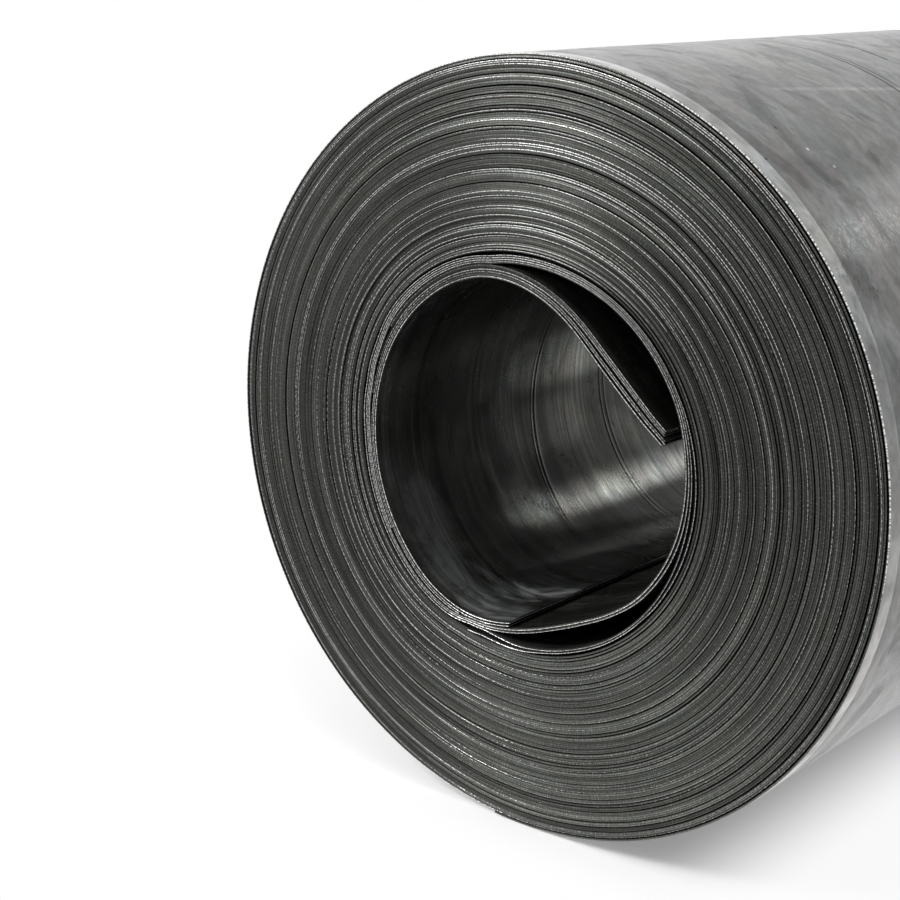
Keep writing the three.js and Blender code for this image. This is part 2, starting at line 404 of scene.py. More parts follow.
def bare_share(wind, angle):
    """How bright the burr's lip is: up to 1 along a few stretches of the strip that are rubbed bare,
    with painted highlight by angle, most of all on the upper side, a little more at the lower left,
    and less at the bottom, with a bell round each. Above 1 most of the edge is bright, a painted glint
    along the right side of the outermost turn."""
    upper, lower, bottom = (bell(turned_from(angle, a), h) for a, h in ((70, 42), (232, 24), (275, 42)))
    worn = ease((wander(wind, 0.37, 35) + 0.25 * upper - 0.36) / 0.4)
    outermost = ease((1.02 - wind) / 0.02) * ease((45 - np.abs(turned_from(angle, 33))) / 16)
    return np.maximum(0.14 + (0.34 + 0.75 * upper + 0.40 * lower - 0.14 * bottom) * worn, 2.7 * outermost)


# ---- where the turns lie


def pushed_out(own, inside, softness):
    """A layer's own curve, pushed out where what lies inside needs the room: the smooth maximum
    (a + b + sqrt((a - b)^2 + s^2)) / 2."""
    return (own + inside + np.sqrt((own - inside) ** 2 + softness**2)) / 2


def wall_sides(angle, thickness):
    """Inner sides of the last five layers at an angle from the tail round to the tail again, from
    the tight wall inwards. Each layer is its own curve, pushed out where the layers inside it need
    the room."""
    round_again = np.where(angle > UNDER_FROM, angle - TURN, -TURN)
    under = smooth_curve(SPRUNG_SIDE, round_again) + smooth_curve(STACK, round_again) + SEATED_AIR
    under = np.where(angle > UNDER_FROM, under, OUT_OF_USE)
    air = smooth_curve(WALL_AIR, angle)
    lower = pushed_out(smooth_curve(LOWER_TURN, angle), under, 3.0)
    lower_mate = lower + thickness + smooth_curve(LOWER_SPLIT, angle)
    crescent = pushed_out(smooth_curve(CRESCENT_SIDE, angle), lower_mate + thickness + air, 1.2)
    slot = pushed_out(smooth_curve(SLOT_SIDE, angle), crescent + thickness + air, 0.8)
    wall = slot + thickness + SEAT_AIR
    return np.stack([wall, slot, crescent, lower_mate, lower])


def rounded(radius, half_span):
    """A closed curve of radii without its short bends: each is replaced by its mean with a bell's
    weights round it, and the whole is moved out until it nowhere cuts the first curve."""
    steps = len(radius)
    turned = (np.arange(steps) + steps // 2) % steps - steps // 2
    weight = bell(turned * TURN / steps, half_span)
    mean = np.fft.irfft(np.fft.rfft(radius) * np.fft.rfft(weight / weight.sum()), steps)
    return mean + (radius - mean).max()


def tight_wall(sizes, step):
    """Inner side of the innermost tight turn at shares of its way round, without the short bends of
    the layers inside it, and its fall by one layer on the way. The fall is taken off before the curve
    is rounded, so that the curve closes, and is put back after that."""
    side = shifted_sides(angle_at(step, sizes), sizes.thickness)[0]
    fall = side[0] - shifted_sides(angle_at(np.ones(1), sizes), sizes.thickness)[0, 0]
    return rounded(side + fall * step, SHORT_BEND) - fall * step, fall


def shifted_sides(angle, thickness):
    """The wall's layers, each moving in to the next one's place before the turn is closed:
    side_i + e (side_i+1 - side_i), where e eases from 0 to 1 over the last degrees."""
    sides = wall_sides(angle, thickness)
    share = ease((angle - SHIFT_FROM) / (sizes_now().tail_degrees + TURN - SHIFT_FROM))
    moved = sides.copy()
    moved[:-1] += share * (sides[1:] - sides[:-1])
    return moved


def sizes_now():
    """The add-on's sizes in millimetres and degrees."""
    sizes = bpy.context.scene.coil_sizes
    lengths = {name: getattr(sizes, name) / MM for name in ("thickness", "burr", "wander")}
    tail_degrees = math.degrees(sizes.tail)
    return SimpleNamespace(turns=sizes.tight_turns, steps=sizes.steps, tail_degrees=tail_degrees, **lengths)


def openness(wind, sizes):
    """Share of the spare room that the gap inside each place takes: most are hairlines, one in five is
    open where a wandering value is high, least on the left, and each loose spot adds a bell."""
    left = bell(turned_from(angle_at(wind, sizes), LEFT_SIDE), 55)
    share = 0.03 + (1 - 0.8 * left) * ease((wander(wind, 0.47, 41) - 0.42) / 0.34)
    for turn, angle, half_span, open_by in LOOSE_SPOTS:
        middle = turn + ((angle - sizes.tail_degrees) % TURN) / TURN
        share += open_by * bell((wind - middle) * TURN, half_span)
    return share


def tight_radii(sizes):
    """Inner side of every tight turn, as an array (turn, step): the outside less all the strips and
    gaps outside it. The spare room between the outside and the wall is shared out by openness."""
    step = np.arange(sizes.steps) / sizes.steps
    wind = np.arange(sizes.turns)[:, None] + step
    share = openness(wind, sizes)
    share[-1] = 0.0
    wall, _ = tight_wall(sizes, step)
    start = OUTER_RADIUS - EDGE_FALL
    spare = start - wall[0] - sizes.turns * sizes.thickness
    pitch = sizes.thickness + spare * share[0, 0] / share[:, 0].sum()
    outside = start - pitch * step
    spare = outside - wall - sizes.turns * sizes.thickness
    gaps = spare * share / share.sum(axis=0)
    within = np.cumsum(gaps + sizes.thickness, axis=0)
    return outside - within + gaps


def on_circle(angle, radius):
    """Points of the coil's cross-section: (r cos a, r sin a)."""
    turned = np.radians(angle)
    return np.stack([radius * np.cos(turned), radius * np.sin(turned)], axis=-1)


# ---- the strip as a surface


def unit_normals(path):
    """Unit vectors square to a path in the cross-section, on the side away from the axis."""
    along = np.gradient(path, axis=0)
    along /= np.linalg.norm(along, axis=1, keepdims=True)
    return np.stack([along[:, 1], -along[:, 0]], axis=1)


def bore_relief(angle, y):
    """Push away from the axis and slide along it, in millimetres. The push is long shallow waves less
    a bell across each crease, over its own stretch of angles, exp(-((a - a0) / h)^4), and dies out at
    both ends. The slide slants the creases: s sin(a - a0), fading to nought at its reach."""
    turned = np.radians(angle)
    push = 0.5 * np.sin(y / 148 + 1.7 * turned) + 0.3 * np.sin(y / 61 - 2.3 * turned + 1.0)
    push += 0.2 * np.sin(y / 27 + 3.0 * turned)
    for place, half_width, height, middle, half_run in CREASES:
        strength = height * np.exp(-(((angle % TURN - middle) / half_run) ** 4))
        push -= strength * bell(y - place, half_width)
    slide = np.zeros(push.shape)
    for place, sideways, level, reach in SLANTS:
        slide += sideways * np.sin(turned - math.radians(level)) * (1 - np.abs(y - place) / reach).clip(0.0)
    return push * ease((WIDTH / 2 - np.abs(y)) / RELIEF_FADE), slide


def outside_relief(angle, y):
    """Push away from the axis in millimetres: it falls off as 1 - (1 - s)^2 over the band along each
    edge, with shallow waves that run round the coil."""
    inward = np.clip((WIDTH / 2 - np.abs(y)) / EDGE_BAND, 0.0, 1.0)
    waves = 0.10 * np.sin(y / 9.5) + 0.16 * np.sin(y / 33 + 1.0) + 0.12 * np.sin(y / 71)
    push = EDGE_FALL * (1 - (1 - inward) ** 2) - MIDDLE_DIP * inward + waves * inward
    return push, np.zeros(np.broadcast(angle, y).shape)


def no_relief(angle, y):
    level = np.zeros(np.broadcast(angle, y).shape)
    return level, level


def strip_columns(count, creases=()):
    """Places across the width for a skin's inner columns: evenly spread, and closer near creases."""
    even = np.linspace(-0.5, 0.5, count + 2)[1:-1] * WIDTH
    if not creases:
        return even
    fine = [place + half_width * CREASE_COLUMNS for place, half_width, *_ in creases]
    edges = [side * (WIDTH / 2 - BAND_COLUMNS) for side in (-1, 1)]
    return np.unique(np.concatenate([even, *fine, *edges]).round(1))


def swept_strip(path, angle, wind, near, far, tone, bare, columns, relief, sizes):
    """The strip's closed section carried along a path. A section point lies at
    path + n (depth + relief(angle, y)), y, where n is the path's outward normal. Each end of the
    section has five points: a rolled-over corner, a tilted slit face and a burr; the skins' columns
    join them. Rows run along the path, and points go round the section from the near edge."""
    rows = len(path)
    tilt = SLIT_TILT * wander(wind, 0.53, 51)
    height = sizes.burr * (0.55 + 0.45 * wander(wind, 0.019, 52))
    thickness = sizes.thickness
    level = np.zeros(rows)
    face = [level + CORNER, SLIT_FACE + tilt, SLIT_FACE - tilt, -height, level + CORNER]
    behind = np.stack(face, axis=1)
    depth = np.array([0.0, FACE_START, thickness - FACE_END, thickness - BURR_AT, thickness])
    near_y = -WIDTH / 2 + near[:, None] + behind
    far_y = WIDTH / 2 - far[:, None] - behind[:, ::-1]
    skin_y = np.broadcast_to(columns, (rows, len(columns)))
    y = np.concatenate([near_y, skin_y, far_y, skin_y[:, ::-1]], axis=1)
    outer = np.full(len(columns), thickness)
    inner = np.zeros(len(columns))
    depths = np.concatenate([depth, outer, depth[::-1], inner])
    push, slide = relief(angle[:, None], y)
    flat = path[:, None, :] + unit_normals(path)[:, None, :] * (depths + push)[..., None]
    y = y + slide
    points = np.stack([flat[..., 0], y, flat[..., 1]], axis=-1)
    arc = np.concatenate([[0.0], np.cumsum(np.linalg.norm(np.diff(path, axis=0), axis=1))])
    arc = arc + wind[0] * MAP_START
    values = {"arc": arc[:, None], "across": depths / thickness, "tone": tone[:, None], "bare": bare[:, None]}
    values = {key: np.broadcast_to(value, y.shape) for key, value in values.items()}
    lane_rows = min(sizes.steps, rows - 1)
    return {"points": points, "y": y, "skin": len(columns), "lane_rows": lane_rows, **values}


def section_shares(skin):
    """Share of a lane's height for each point round the section: an edge, a skin, and both again."""
    edge = np.linspace(0.0, EDGE_SHARE, SECTION_ENDS)
    across = SKIN_SHARE * np.arange(1, skin + 1) / (skin + 1)
    return np.concatenate([edge, EDGE_SHARE + across, 0.50 + edge, 0.50 + EDGE_SHARE + across, [1.0]])


def faces_of(strip, lane, lanes):
    """Quads between neighbouring rows and neighbouring points round the section, and a closing face
    at each end. On the baking map every lane_rows rows fill a lane of their own: u runs along the
    lane and v round the section."""
    rows, ring = strip["y"].shape
    skin, lane_rows = strip["skin"], strip["lane_rows"]
    i = np.arange(rows - 1)[:, None]
    j = np.arange(ring)[None, :]
    ahead = (j + 1) % ring
    quads = np.stack([i * ring + j, i * ring + ahead, (i + 1) * ring + ahead, (i + 1) * ring + j], axis=-1)
    outer_skin = (j >= SECTION_ENDS - 1) & (j < SECTION_ENDS + skin)
    inner_skin = j >= 2 * SECTION_ENDS + skin - 1
    slots = np.broadcast_to(np.where(outer_skin, 0, np.where(inner_skin, 1, 2)), (rows - 1, ring))
    shares = section_shares(skin)
    full = np.ones((rows - 1, ring))
    low, high = i % lane_rows / lane_rows * full, (i % lane_rows + 1) / lane_rows * full
    start, stop = shares[None, :-1] * full, shares[None, 1:] * full
    u = LANE_LENGTH * np.stack([low, low, high, high], axis=-1)
    v = LANE_FOOT + LANE_HEIGHT * np.stack([start, stop, stop, start], axis=-1)
    v = (lane + (i // lane_rows)[..., None] + v) / lanes
    y_share = (strip["y"] / WIDTH + 0.5).clip(0.0, 1.0)
    cap_u = CAP_PLACE + CAP_WIDTH * strip["across"][0]
    first = np.stack([cap_u, (lane + y_share[0]) / lanes], axis=-1)[::-1]
    last = np.stack([cap_u + CAP_STEP, (lane + (rows - 2) // lane_rows + y_share[-1]) / lanes], axis=-1)
    around = np.arange(ring)
    corners = np.concatenate([quads.reshape(-1), around[::-1], (rows - 1) * ring + around])
    counts = np.concatenate([np.full((rows - 1) * ring, 4), [ring, ring]])
    bake = np.concatenate([np.stack([u, v], axis=-1).reshape(-1, 2), first, last])
    return corners, counts, np.concatenate([slots.reshape(-1), [2, 2]]), bake


def joined(parts, key):
    """One value of every part, end to end."""
    return np.concatenate([part[key].reshape(-1) for part in parts])


def store(data, key, values, kind=np.float32):
    data.foreach_set(key, values.astype(kind).reshape(-1))


def strips_object(name, strips, materials):
    """One mesh object that holds the strips, with the maps strip_map (metres along the strip and
    along the axis) and OFBake, and the attributes across, tone and bare."""
    used = [math.ceil((len(strip["y"]) - 1) / strip["lane_rows"]) for strip in strips]
    lanes = np.concatenate([[0], np.cumsum(used)])
    faces = [faces_of(strip, lane, lanes[-1]) for lane, strip in zip(lanes, strips)]
    before = np.cumsum([0] + [strip["y"].size for strip in strips])
    corners = np.concatenate([face[0] + first for face, first in zip(faces, before)])
    counts = joined(faces, 1)
    points = joined(strips, "points").reshape(-1, 3) * MM
    points[:, 2] += AXIS_HEIGHT
    place = np.stack([joined(strips, "arc"), joined(strips, "y")], axis=-1) * MM

    mesh = bpy.data.meshes.new(name)
    mesh.vertices.add(len(points))
    store(mesh.vertices, "co", points)
    mesh.loops.add(len(corners))
    store(mesh.loops, "vertex_index", corners, np.int32)
    mesh.polygons.add(len(counts))
    store(mesh.polygons, "loop_start", np.cumsum(counts) - counts, np.int32)
    store(mesh.polygons, "material_index", joined(faces, 2), np.int32)
    mesh.update(calc_edges=True)
    for layer, values in (("strip_map", place[corners]), ("OFBake", joined(faces, 3))):
        store(mesh.uv_layers.new(name=layer).uv, "vector", values)
    for key in STRIP_VALUES:
        store(mesh.attributes.new(key, "FLOAT", "POINT").data, "value", joined(strips, key))
    for material in materials:
        mesh.materials.append(material)
    mesh.shade_smooth()
    mesh.set_sharp_from_angle(angle=math.radians(35))
    mesh.validate()

    made = bpy.data.objects.new(name, mesh)
    bpy.context.scene.collection.objects.link(made)
    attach(made, BODY)
    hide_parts(NODE)


def tight_run(first, last, columns, relief):
    """The strip between two windings of the tight turns, counted from the tail."""
    sizes = sizes_now()
    wall, fall = tight_wall(sizes, np.arange(sizes.steps) / sizes.steps)
    radii = np.append(tight_radii(sizes).reshape(-1), wall[0] - fall)
    index = np.arange(round(first * sizes.steps), round(last * sizes.steps) + 1)
    wind = index / sizes.steps
    angle = angle_at(wind, sizes)
    near, far = edge_setbacks(wind, sizes)
    path = on_circle(angle, radii[index])
    tone, bare = edge_tone(wind, angle), bare_share(wind, angle)
    return swept_strip(path, angle, wind, near, far, tone, bare, columns, relief, sizes)


def wall_run():
    """The strip's last turns before the eye: each follows the next inner layer of the wall."""
    sizes = sizes_now()
    step = np.arange(sizes.steps) / sizes.steps
    angle = angle_at(step, sizes)
    layers = shifted_sides(angle, sizes.thickness)[1:]
    wall, fall = tight_wall(sizes, step)
    joined = 1 - ease((angle - sizes.tail_degrees) / LANDING)
    layers[0] += joined * (wall[0] - fall - layers[0, 0])
    index = np.arange(layers.size)
    angle = angle_at(index / sizes.steps, sizes)
    kept = index[angle <= LAST_TURN_ENDS + TURN * (len(layers) - 1)]
    wind = sizes.turns + kept / sizes.steps
    behind = WALL_SETBACK * ease((wind - sizes.turns) / 2)
    near, far = (setback + behind for setback in edge_setbacks(wind, sizes))
    angle = angle[kept]
    path = on_circle(angle, layers.reshape(-1)[kept])
    tone = edge_tone(wind, angle) * (0.6 + 0.3 * ease((wind - sizes.turns - 1.6) / 0.5))
    bare = 0.85 + 0.40 * wander(wind, 0.19, 63)
    columns = strip_columns(WALL_COLUMNS)
    return swept_strip(path, angle, wind, near, far, tone, bare, columns, bore_relief, sizes)


def sprung_wind(number, angle):
    """Winding of a place on a sprung turn: each has a stretch of its own past the wall's turns."""
    return sizes_now().turns + SPRUNG_START + SPRUNG_APART * number + angle / TURN


def sprung_run(number):
    """One of the sprung turns: the innermost turn's side moved out, square to it, by the strips and
    the air between them."""
    sizes = sizes_now()
    start, end, bright = SPRUNG_TURNS[number]
    rows = round((end - start) / TURN * sizes.steps * FINER)
    angle = np.linspace(start, end, rows)
    side = on_circle(angle, smooth_curve(SPRUNG_SIDE, angle))
    foot = smooth_curve(SPLIT_AT_FOOT, angle)
    depth = number * (sizes.thickness + SEATED_AIR + foot)
    depth = depth + (number > 0) * smooth_curve(SPLIT_AFTER_FIRST, angle)
    depth = depth + (number > 2) * smooth_curve(SPLIT_AFTER_THIRD, angle)
    path = side + unit_normals(side) * depth[:, None]
    wind = sprung_wind(number, angle)
    ragged = EYE_SETBACK + EYE_RAGGED * wander(wind, 0.31, 61)
    tone = bright * edge_tone(wind, angle) * (1 - 0.4 * bell(angle - 185, 50))
    free = bell(angle - 40, 34)
    bare = 0.5 + 0.35 * wander(wind, 0.23, 62) + 0.8 * free
    # At the foot the outer sprung turns' edges are darkened as painted shade, where they lie on one another.
    if number > 0:
        tone, bare = tone * (1 - 0.6 * foot) * (1 - 0.4 * free), bare + 0.45 * foot
    if number == 0:
        bare += 0.6 + 1.3 * bell(angle - 214, 26)
    columns = strip_columns(SPRUNG_COLUMNS) if number > 0 else strip_columns(INMOST_COLUMNS, CREASES)
    return swept_strip(path, angle, wind, ragged, ragged, tone, bare, columns, bore_relief, sizes)


# ---- shader nodes


class Value:
    """An output of a node. Sums are written as sums: each one adds a Math node to the same tree."""

    def __init__(self, socket):
        self.socket, self.tree = socket, socket.id_data

    def __add__(self, other):
        return sums("ADD", self, other)

    def __radd__(self, other):
        return sums("ADD", other, self)

    def __sub__(self, other):
        return sums("SUBTRACT", self, other)

    def __rsub__(self, other):
        return sums("SUBTRACT", other, self)

    def __mul__(self, other):
        return sums("MULTIPLY", self, other)

    def __truediv__(self, other):
        return sums("DIVIDE", self, other)


def fill(sockets, inputs):
    """Joins each socket that is given a Value to it, and sets the others."""
    for key, value in inputs.items():
        if isinstance(value, Value):
            value.tree.links.new(value.socket, sockets[key])
        else:
            sockets[key].default_value = value


def put(tree, kind, inputs=None, **settings):
    """Adds a node, and gives its outputs by number and by name."""
    node = tree.nodes.new("ShaderNode" + kind)
    for name, value in settings.items():
        setattr(node, name, value)
    fill(node.inputs, inputs or {})
    outputs = [Value(socket) for socket in node.outputs]
    return {**dict(enumerate(outputs)), **{value.socket.name: value for value in outputs}}


def tree_of(*values):
    """The tree that these values, some of which may be plain numbers, belong to."""
    return next(value.tree for value in values if isinstance(value, Value))


def sums(operation, *values):
    """A Math node's result."""
    return put(tree_of(*values), "Math", dict(enumerate(values)), operation=operation)[0]


def vectors(operation, first, second, result="Value"):
    """A Vector Math node's result."""
    key = "Scale" if operation == "SCALE" else 1
    return put(first.tree, "VectorMath", {0: first, key: second}, operation=operation)[result]


def ramp(value, low, high, start=0.0, stop=1.0):
    """A value's eased way from low to high, as start to stop."""
    inputs = {"Value": value, "From Min": low, "From Max": high, "To Min": start, "To Max": stop}
    return put(value.tree, "MapRange", inputs, interpolation_type="SMOOTHSTEP")[0]


def between(share, first, second):
    """The value at a share of the way between two."""
    return put(share.tree, "Mix", {0: share, 2: first, 3: second}, data_type="FLOAT")[0]


def blend(share, first, second, how="MIX"):
    """Two colours mixed by a share."""
    inputs = {0: share, 6: first, 7: second}
    return put(tree_of(*inputs.values()), "Mix", inputs, data_type="RGBA", blend_type=how)[2]


def grey(value):
    return put(value.tree, "CombineXYZ", {0: value, 1: value, 2: value})[0]


def shaded(colour, level):
    """A plain colour made lighter or darker by a level."""
    return blend(1, (*colour, 1), grey(level), "MULTIPLY")


def stretched(place, along, around, seed=0.0):
    """A place along and across the strip, scaled by its own factor each way."""
    parts = put(place.tree, "SeparateXYZ", {0: place})
    return put(place.tree, "CombineXYZ", {0: parts[0] * along, 1: parts[1] * around, 2: seed})[0]


def noise(place, scale=1.0, detail=3.0, roughness=0.55, warp=0.0):
    inputs = {"Vector": place, "Scale": scale, "Detail": detail, "Roughness": roughness, "Distortion": warp}
    return put(place.tree, "TexNoise", inputs)["Fac"]


def drawn_noise(place, along, around, seed, *inputs):
    """Noise over a stretched place."""
    return noise(stretched(place, along, around, seed), *inputs)


def new_socket(tree, label, way):
    kind = {"Place": "Vector", "From": "Vector", "To": "Vector", "Colour": "Color"}.get(label, "Float")
    return tree.interface.new_socket(name=label, in_out=way, socket_type="NodeSocket" + kind)


def new_group(name, **defaults):
    """The inputs of a new node group, in order; those without a default are given None."""
    tree = bpy.data.node_groups.new(name, "ShaderNodeTree")
    for label, default in defaults.items():
        socket = new_socket(tree, label, "INPUT")
        if default is not None:
            socket.default_value = default
    given = tree.nodes.new("NodeGroupInput").outputs
    return [Value(given[label]) for label in defaults]


def give(**outputs):
    """Ends a node group with its outputs, and gives the group."""
    tree = tree_of(*outputs.values())
    for label in outputs:
        new_socket(tree, label, "OUTPUT")
    fill(tree.nodes.new("NodeGroupOutput").inputs, outputs)
    return tree


def use(make, place, **inputs):
    """The outputs of a shared node group at a place; its maker is called when it is first used."""
    group = bpy.data.node_groups.get(make.__name__) or make()
    return put(place.tree, "Group", {"Place": place, **inputs}, node_tree=group)


def rolling_streaks():
    """Streaks along the strip: noise stretched lengthwise, fine lines on broad bands."""
    place, fineness, bands = new_group("rolling_streaks", Place=None, Fineness=1.0, Bands=0.5)
    fine = drawn_noise(place, 0.9, 55, 3, fineness, 4, 0.65)
    hair = drawn_noise(place, 2.2, 260, 7, fineness, 2, 0.6)
    band = drawn_noise(place, 0.22, 9, 11, 1, 2, 0.5)
    return give(Streak=ramp(between(bands, fine, band), 0.28, 0.72), Line=ramp(hair, 0.35, 0.75))


def rubbed_patches():
    """Cloudy patches where turns have rubbed or oil has dried, drawn out along the strip."""
    place, size, cover = new_group("rubbed_patches", Place=None, Size=1.0, Cover=0.5)
    wide = drawn_noise(place, 3.4, 6, 17, size, 5, 0.6, 1.4)
    smear = drawn_noise(place, 9, 17, 19, size, 5, 0.6, 1.8)
    mottle = drawn_noise(place, 70, 80, 23, size, 4, 0.7, 0.6)
    edge = 1 - cover
    return give(Patch=ramp(wide, edge, edge + 0.10), Smear=smear, Mottle=mottle)


def drawn_mark():
    """A mark drawn from one place of the strip to another: 1 on the line between them and 0 at the
    radius, broken up by grain where that is asked for."""
    inputs = {"Place": None, "From": None, "To": None, "Radius": 0.01, "Grain": 0.0}
    place, start, stop, radius, grain = new_group("drawn_mark", **inputs)
    span = vectors("SUBTRACT", stop, start, "Vector")
    away = vectors("SUBTRACT", place, start, "Vector")
    share = vectors("DOT_PRODUCT", away, span) / vectors("DOT_PRODUCT", span, span)
    nearest = vectors("SCALE", span, put(span.tree, "Clamp", {0: share})[0], "Vector")
    soft = ramp(vectors("DISTANCE", away, nearest) / radius, 0.25, 1, 1, 0)
    fine = drawn_noise(place, 150, 330, 29, 1, 2, 0.6)
    broad = drawn_noise(place, 30, 90, 37, 1, 3, 0.6, 0.8)
    broken = ramp(fine, 0.49, 0.58) * ramp(broad, 0.40, 0.54)
    return give(Mask=soft * between(grain, 1, broken))


def scale_specks():
    """Small specks of scale and dirt, in drifts: cells' centres that lie where a wide noise is high."""
    place, density, drift = new_group("scale_specks", Place=None, Density=90.0, Drift=0.5)
    inputs = {"Vector": stretched(place, 0.8, 1), "Scale": density, "Randomness": 1.0}
    spot = ramp(put(place.tree, "TexVoronoi", inputs)["Distance"], 0.12, 0.26, 1, 0)
    limit = 1 - drift
    wide = drawn_noise(place, 5, 9, 31, 1, 3, 0.6)
    return give(Speck=spot * ramp(wide, limit, limit + 0.12))


def steel_tint():
    """Slight casts of blue, violet and brown over a grey, as oxide of uneven thickness gives."""
    colour, place, amount = new_group("steel_tint", Colour=None, Place=None, Amount=0.3)
    first = drawn_noise(place, 5, 9, 41, 1, 4, 0.6, 1.4)
    second = drawn_noise(place, 7, 12, 47, 1, 4, 0.6, 1.4)
    cool = blend(ramp(first, 0.38, 0.62), (1.02, 1.02, 0.95, 1), (0.94, 0.99, 1.07, 1))
    cast = blend(ramp(second, 0.48, 0.64), cool, (1.08, 0.95, 0.98, 1))
    return give(Colour=blend(amount, colour, blend(1, colour, cast, "MULTIPLY")))


def slit_marks():
    """The marks of slitting on an edge: duller towards the inner corner, and a lip along the outer
    corner that is rubbed bare in dashes, more of them the higher the bare share."""
    place, across, tone, bare = new_group("slit_marks", Place=None, Across=0.5, Tone=1.0, Bare=0.5)
    grain = drawn_noise(place, 380, 0, 3, 1, 3, 0.7)
    slow = drawn_noise(place, 14, 0, 9, 1, 3, 0.6)
    dash = drawn_noise(place, 170, 0, 13, 1, 3, 0.7)
    # Painted glint: fine bright specks that raise the edge's level up to 2.6 times.
    painted_glint = drawn_noise(place, 610, 0, 15, 1, 1, 0.5)
    dots = drawn_noise(place, 270, 0, 17, 1, 1, 0.5)
    level = ramp(grain, 0.25, 0.75, 0.35, 1.65) * ramp(slow, 0.3, 0.7, 0.82, 1.18)
    level = level * ramp(across, 0.2, 0.9, 0.7, 1.45) * ramp(painted_glint, 0.58, 0.68, 1, 2.6) * tone
    start = 0.88 - bare * 0.24
    least = 0.66 - sums("MINIMUM", bare, 0.6) * 0.5
    lip = ramp(across, start, start + 0.08) * ramp(dash, least, least + 0.12)
    return give(Value=level, Lip=lip * ramp(dots, 0.42, 0.56, 0.22, 1), Height=grain)


# ---- materials

BUMP_DEPTH = 0.0006
GRAIN_DEPTH = 0.0002
BRUSHED = 0.25  # a quarter turn, which lays the shader's brushing along its tangent
CLEAN_TINT = (0.7, 0.7, 0.7, 1)
SPECK = (0.02, 0.018, 0.016, 1)
BORE_SPECK = (0.012, 0.011, 0.010, 1)
# Near black for the skins between the turns: painted shade, so that the gaps between them show black.
GAP_SHADE_BLACK = (0.004, 0.004, 0.0035)


def on_outer_skin(angle, y):
    """Place on the strip's map of a point of the outermost turn."""
    sizes = sizes_now()
    radius = OUTER_RADIUS - EDGE_FALL - sizes.thickness
    turned = math.radians((angle - sizes.tail_degrees - TAIL_CROP) % TURN)
    return TAIL_CROP / TURN + turned * radius * MM, y * MM, 0.0


def on_bore(angle, y):
    """Place on the strip's map of a point of the innermost sprung turn: the length of its curve up
    to the angle, past the winding that it starts from."""
    start = SPRUNG_TURNS[0][0]
    turned = np.linspace(start, angle, 200)
    side = on_circle(turned, smooth_curve(SPRUNG_SIDE, turned))
    length = np.linalg.norm(np.diff(side, axis=0), axis=1).sum()
    return sprung_wind(0, start) + float(length) * MM, y * MM, 0.0


def mark_masks(place, find, marks):
    """Each mark of a table with its mask, where find gives places on the strip's map."""
    for start, stop, half_width, strength, *grain in marks:
        drawn = {"From": find(*start), "To": find(*stop), "Radius": half_width * MM}
        yield strength, use(drawn_mark, place, **drawn, Grain=grain[0] if grain else 0)["Mask"]


def marked(level, place, find, marks):
    """A level that each mark of a table lightens or darkens by its share."""
    for strength, mask in mark_masks(place, find, marks):
        level = level * ramp(mask, 0, 1, 1, 1 + strength)
    return level


def edge_band(place, ragged, lighter):
    """The lighter band along each edge of the strip, made ragged by a noise."""
    width = bpy.context.scene.coil_sizes.edge_band
    across = put(place.tree, "SeparateXYZ", {0: place})[1]
    inward = WIDTH * MM / 2 - sums("ABSOLUTE", across) + (ragged - 0.5) * 0.006
    return ramp(inward, width - 0.0015, width + 0.001, lighter, 1)


def emptied(made):
    """The node tree of a new material or world, without its nodes."""
    made.use_nodes = True
    made.node_tree.nodes.clear()
    return made.node_tree


def new_material(name):
    """A material for the strip, and the place on the strip's map in it."""
    made = bpy.data.materials.new(name)
    return made, put(emptied(made), "UVMap", uv_map="strip_map")[0]


def rolled_marks(place, bands=0.5, cover=0.5, size=1, **specks):
    """What rolling, rubbing and scale left at a place: streaks, patches and specks, by name."""
    marks = {**use(rolling_streaks, place, Bands=bands), **use(rubbed_patches, place, Size=size, Cover=cover)}
    return {**marks, **use(scale_specks, place, **specks)} if specks else marks


def ramps(marks, *table):
    """Ramps of marks, each given as (mark, low, high, start, stop), multiplied together."""
    return reduce(mul, [ramp(marks[name], *numbers) for name, *numbers in table])


def rolled_roughness(least, marks, steady):
    """Roughness of a rolled skin: patches and specks raise it, and smears lower it by up to steady."""
    smeared = least + ramp(marks["Smear"], 0.3, 0.7, -steady, 0.05)
    return smeared + marks["Patch"] * 0.05 + marks["Speck"] * 0.3


def surfaced(made, colour, rough, look):
    """Gives a material its surface."""
    tree = made.node_tree
    inputs = {"Base Color": colour, "Roughness": rough, **look}
    put(tree, "OutputMaterial", {"Surface": put(tree, "BsdfPrincipled", inputs)[0]})
    return made


def steel(made, colour, rough, height, strength, look, depth=BUMP_DEPTH):
    """Gives a material the surface of steel that was rolled round the coil's axis, with its marks
    standing up by a height."""
    tree = made.node_tree
    bump = put(tree, "Bump", {"Strength": strength, "Distance": depth, "Height": height})[0]
    tangent = put(tree, "Tangent", direction_type="RADIAL", axis="Y")[0]
    brushed = {"Normal": bump, "Tangent": tangent, "Anisotropic Rotation": BRUSHED}
    return surfaced(made, colour, rough, {**brushed, **look})


